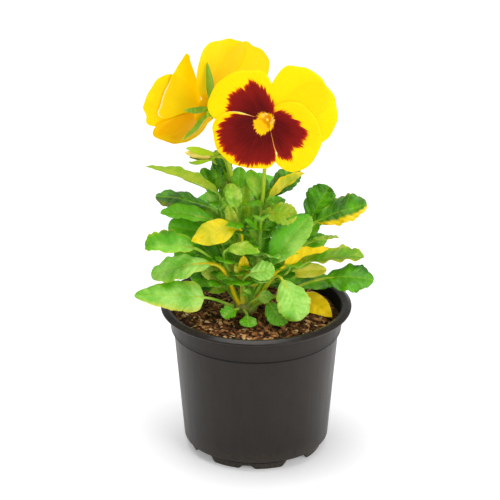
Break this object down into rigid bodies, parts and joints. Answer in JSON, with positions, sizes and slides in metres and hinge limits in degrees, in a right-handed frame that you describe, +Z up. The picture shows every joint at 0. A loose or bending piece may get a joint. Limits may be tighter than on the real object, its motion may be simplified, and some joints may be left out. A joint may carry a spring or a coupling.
{
  "type": "potted pansy",
  "caption": "Yellow pansy with dark red blotches, with open flowers, a bud and toothed leaves, growing in soil in a round black plastic nursery pot.",
  "frame": {"origin": "centre of the pot's foot, on the ground", "axes": "+Z up; the open flower that shows its face looks toward -Y; +X to the right as that face is looked at"},
  "size_m": [0.13, 0.105, 0.2333],
  "materials": {
    "black_plastic": "satin",
    "potting_soil": "matte",
    "root_brown": "matte",
    "stem_green": "satin",
    "leaf_green": "satin",
    "leaf_yellow": "satin",
    "sepal_green": "satin",
    "petal_yellow": "matte"
  },
  "bodies": {
    "root": {"bud_petals": "petal_yellow", "bud_sepals": "sepal_green", "calyx_front": "sepal_green", "calyx_rear": "sepal_green", "leaf_fallen_yellow": "leaf_yellow", "leaf_front_arched": "leaf_green", "leaf_front_big": "leaf_green", "leaf_front_light": "leaf_green", "leaf_front_lobed": "leaf_green", "leaf_front_low": "leaf_green", "leaf_front_small": "leaf_green", "leaf_front_stalk": "leaf_green", "leaf_front_tiny": "leaf_green", "leaf_front_yellow": "leaf_yellow", "leaf_left_arched": "leaf_green", "leaf_left_curled": "leaf_green", "leaf_left_high": "leaf_green", "leaf_left_inner": "leaf_green", "leaf_left_low_big": "leaf_green", "leaf_left_low_rear": "leaf_green", "leaf_left_middle": "leaf_green", "leaf_left_upper": "leaf_green", "leaf_left_upper_dark": "leaf_green", "leaf_outer_crenate": "leaf_green", "leaf_outer_dark": "leaf_green", "leaf_outer_far": "leaf_green", "leaf_outer_rear": "leaf_green", "leaf_outer_thin": "leaf_green", "leaf_rear_left": "leaf_green", "leaf_rear_middle": "leaf_green", "leaf_rear_right": "leaf_green", "leaf_right_big": "leaf_green", "leaf_right_high": "leaf_green", "leaf_right_high_rear": "leaf_green", "leaf_right_low": "leaf_green", "leaf_right_round": "leaf_green", "leaf_right_yellow": "leaf_yellow", "leaf_top_dark": "leaf_green", "leaf_top_front": "leaf_green", "petal_front_lower": "petal_yellow", "petal_front_side_left": "petal_yellow", "petal_front_side_right": "petal_yellow", "petal_front_upper_left": "petal_yellow", "petal_front_upper_right": "petal_yellow", "petal_rear_lower": "petal_yellow", "petal_rear_side_left": "petal_yellow", "petal_rear_side_right": "petal_yellow", "petal_rear_upper_left": "petal_yellow", "petal_rear_upper_right": "petal_yellow", "pot": "black_plastic", "root_crown": "root_brown", "soil": "potting_soil", "stalk_bud": "stem_green", "stalk_front": "stem_green", "stalk_rear": "stem_green", "stem_left": "stem_green", "stem_middle": "stem_green", "stem_outer": "stem_green", "stem_rear": "stem_green", "stem_right": "stem_green"}
  },
  "joints": []
}
